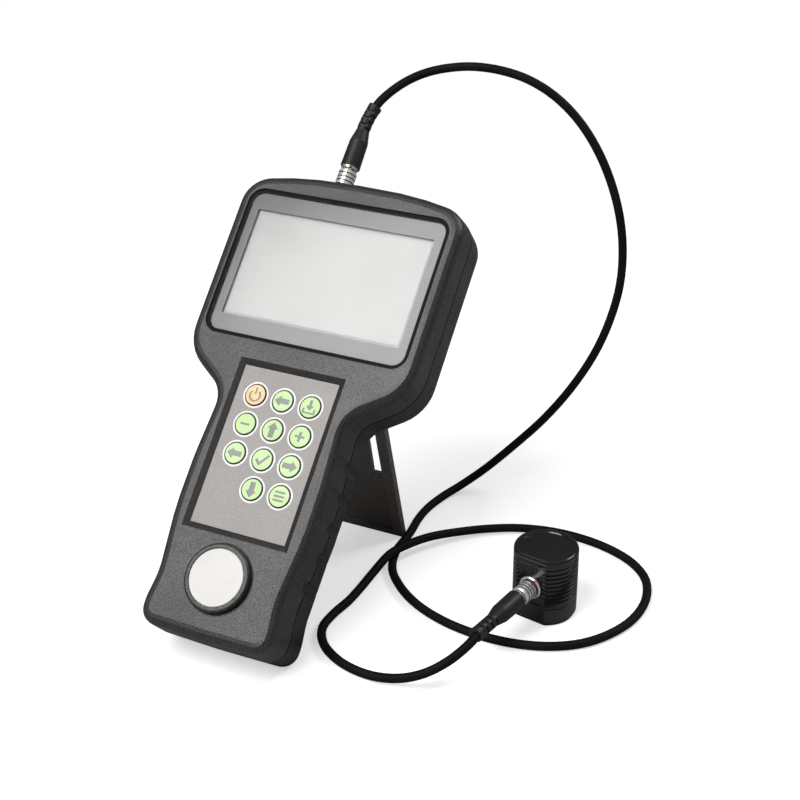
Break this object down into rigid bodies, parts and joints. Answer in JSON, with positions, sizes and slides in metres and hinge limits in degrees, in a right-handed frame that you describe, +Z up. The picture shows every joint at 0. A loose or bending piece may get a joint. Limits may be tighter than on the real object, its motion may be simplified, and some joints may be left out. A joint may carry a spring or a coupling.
{
  "type": "ultrasonic thickness gauge",
  "caption": "Hand-held ultrasonic thickness gauge leaning on a fold-out stand, with a keypad, a screen, a test disc and a round probe on a looped cable.",
  "frame": {"origin": "middle of the flat land of the case's heel, on the table", "axes": "+Z up, +X to the right of someone reading the screen, +Y away from them, towards the stand"},
  "size_m": [0.2307, 0.2513, 0.236],
  "materials": {
    "shell_light": "fine spark texture",
    "shell_dark": "fine spark texture",
    "window": "clear hard-coated sheet",
    "black_trim": "soft black seal",
    "lcd": "unlit display module",
    "board": "glass-fibre board with parts",
    "screws": "plain steel",
    "panel": "satin grey overlay",
    "silicone": "moulded silicone",
    "key_green": "satin moulded key with printed ring",
    "key_amber": "satin moulded key with printed ring",
    "ceramic": "smooth white disc",
    "battery": "shrink-wrapped pack",
    "plated": "satin plated",
    "gold": "gold-plated notched nut",
    "cable": "satin black jacket",
    "probe_black": "moulded black with bright edges",
    "magnet": "plated magnet",
    "copper": "flat copper winding"
  },
  "bodies": {
    "gauge": {"front_shell": "shell_light", "rear_shell": "shell_dark", "window": "window", "window_seal": "black_trim", "lcd_module": "lcd", "main_board": "board", "board_screws": "screws", "keypad_panel": "panel", "key_mat": "silicone", "test_disc": "ceramic", "battery_pack": "battery", "battery_door": "shell_dark", "door_screws": "screws", "case_screws": "screws", "stand_pin": "screws", "top_socket": "plated", "top_plug": "plated", "top_nut": "gold", "top_boot": "cable", "cable": "cable", "probe_boot": "cable", "probe_nut": "gold", "probe_plug": "plated", "probe_socket": "plated", "probe_housing": "probe_black", "probe_cap": "probe_black", "probe_magnet": "magnet", "probe_coil": "copper", "probe_sole": "probe_black"},
    "key_power_body": {"key_power": "key_amber"},
    "key_back_body": {"key_back": "key_green"},
    "key_store_body": {"key_store": "key_green"},
    "key_minus_body": {"key_minus": "key_green"},
    "key_up_body": {"key_up": "key_green"},
    "key_plus_body": {"key_plus": "key_green"},
    "key_left_body": {"key_left": "key_green"},
    "key_enter_body": {"key_enter": "key_green"},
    "key_right_body": {"key_right": "key_green"},
    "key_down_body": {"key_down": "key_green"},
    "key_menu_body": {"key_menu": "key_green"},
    "stand_leg": {"stand": "shell_dark"},
    "top_lock": {"top_sleeve": "plated"},
    "probe_lock": {"probe_sleeve": "plated"}
  },
  "joints": [
    {"name": "key_power_press", "type": "slide", "parent": "gauge", "child": "key_power_body", "axis": [0, 0.7109, -0.7033], "range_m": [0, 0.0007], "stiffness_N_per_m": 1500},
    {"name": "key_back_press", "type": "slide", "parent": "gauge", "child": "key_back_body", "axis": [0, 0.7109, -0.7033], "range_m": [0, 0.0007], "stiffness_N_per_m": 1500},
    {"name": "key_store_press", "type": "slide", "parent": "gauge", "child": "key_store_body", "axis": [0, 0.7109, -0.7033], "range_m": [0, 0.0007], "stiffness_N_per_m": 1500},
    {"name": "key_minus_press", "type": "slide", "parent": "gauge", "child": "key_minus_body", "axis": [0, 0.7109, -0.7033], "range_m": [0, 0.0007], "stiffness_N_per_m": 1500},
    {"name": "key_up_press", "type": "slide", "parent": "gauge", "child": "key_up_body", "axis": [0, 0.7109, -0.7033], "range_m": [0, 0.0007], "stiffness_N_per_m": 1500},
    {"name": "key_plus_press", "type": "slide", "parent": "gauge", "child": "key_plus_body", "axis": [0, 0.7109, -0.7033], "range_m": [0, 0.0007], "stiffness_N_per_m": 1500},
    {"name": "key_left_press", "type": "slide", "parent": "gauge", "child": "key_left_body", "axis": [0, 0.7109, -0.7033], "range_m": [0, 0.0007], "stiffness_N_per_m": 1500},
    {"name": "key_enter_press", "type": "slide", "parent": "gauge", "child": "key_enter_body", "axis": [0, 0.7109, -0.7033], "range_m": [0, 0.0007], "stiffness_N_per_m": 1500},
    {"name": "key_right_press", "type": "slide", "parent": "gauge", "child": "key_right_body", "axis": [0, 0.7109, -0.7033], "range_m": [0, 0.0007], "stiffness_N_per_m": 1500},
    {"name": "key_down_press", "type": "slide", "parent": "gauge", "child": "key_down_body", "axis": [0, 0.7109, -0.7033], "range_m": [0, 0.0007], "stiffness_N_per_m": 1500},
    {"name": "key_menu_press", "type": "slide", "parent": "gauge", "child": "key_menu_body", "axis": [0, 0.7109, -0.7033], "range_m": [0, 0.0007], "stiffness_N_per_m": 1500},
    {"name": "stand_hinge", "type": "hinge", "parent": "gauge", "child": "stand_leg", "pos_m": [0, 0.10091, 0.10894], "axis": [1, 0, 0], "range_deg": [-58, 0]},
    {"name": "top_sleeve_pull", "type": "slide", "parent": "gauge", "child": "top_lock", "axis": [0, 0.7033, 0.7109], "range_m": [0, 0.001], "stiffness_N_per_m": 2500},
    {"name": "probe_sleeve_pull", "type": "slide", "parent": "gauge", "child": "probe_lock", "axis": [-0.1736, -0.9848, 0], "range_m": [0, 0.001], "stiffness_N_per_m": 2500}
  ]
}
